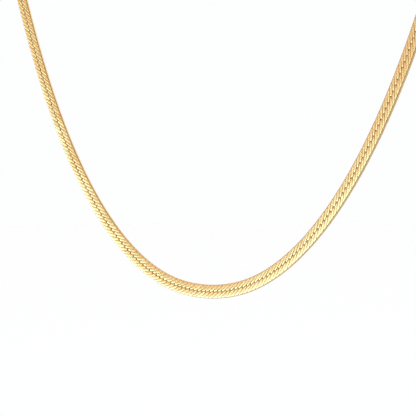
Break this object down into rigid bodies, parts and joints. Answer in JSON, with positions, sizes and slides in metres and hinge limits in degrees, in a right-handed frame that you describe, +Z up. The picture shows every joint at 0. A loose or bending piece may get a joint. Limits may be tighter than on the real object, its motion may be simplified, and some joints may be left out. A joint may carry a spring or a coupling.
{
  "type": "herringbone chain necklace",
  "caption": "Flat herringbone chain in yellow gold, a flexible woven band hanging as one closed loop round the neck, joined at the nape by a small clasp.",
  "frame": {"origin": "middle of the clasp's inner face, where the loop rests on the nape", "axes": "+X to the right as seen from the front, -Y out of the front, +Z up; the front hangs below the origin"},
  "size_m": [0.1528, 0.0618, 0.1417],
  "materials": {
    "woven_gold": "polished flattened links of 14 karat yellow gold, with dark lines between them",
    "clasp_gold": "polished 14 karat yellow gold"
  },
  "bodies": {
    "root": {"chain": "woven_gold", "clasp": "clasp_gold"}
  },
  "joints": []
}
